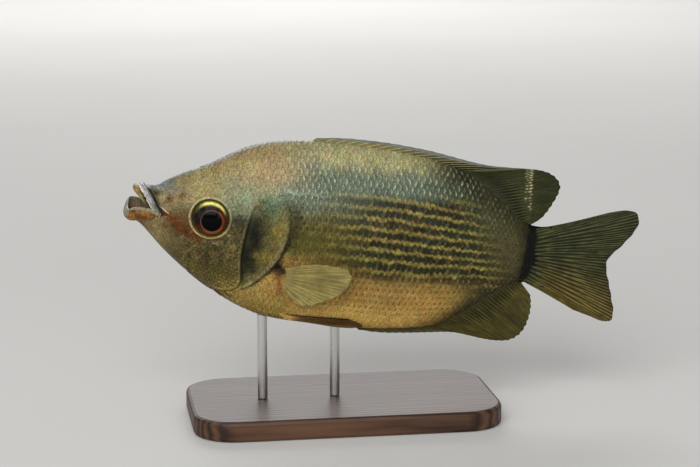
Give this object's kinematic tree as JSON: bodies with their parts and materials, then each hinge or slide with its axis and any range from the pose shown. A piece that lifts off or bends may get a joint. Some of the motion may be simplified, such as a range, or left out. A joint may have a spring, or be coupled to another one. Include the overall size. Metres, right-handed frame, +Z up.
{
  "type": "kissing gourami display model",
  "caption": "Still life-size model of a kissing gourami with thick parted lips and folded spiny fins, held level on a flat base by short rods.",
  "frame": {"origin": "on the underside of the stand's base, under the middle of the model's bounding box", "axes": "+X from the lips towards the tail fin, +Y towards the fish's right side, +Z up"},
  "size_m": [0.1802, 0.058, 0.0973],
  "materials": {
    "skin": "painted scales under satin varnish, olive gold with dark stripes",
    "lip": "painted, moist satin",
    "eye": "clear gloss over a painted iris",
    "fin": "thin membrane with raised rays, slightly translucent",
    "pectoral": "pale thin membrane with raised rays, translucent",
    "base": "dark stained, satin",
    "rod": "fine brushed"
  },
  "bodies": {
    "root": {"head": "skin", "trunk": "skin", "tail_stalk": "skin", "gill_cover_left": "skin", "gill_cover_right": "skin", "upper_lip": "lip", "lower_lip": "lip", "eye_left": "eye", "eye_right": "eye", "dorsal_fin": "fin", "anal_fin": "fin", "caudal_fin": "fin", "pelvic_fin_left": "fin", "pelvic_fin_right": "fin", "pectoral_fin_left": "pectoral", "pectoral_fin_right": "pectoral", "stand_base": "base", "stand_rod_front": "rod", "stand_rod_rear": "rod"}
  },
  "joints": []
}
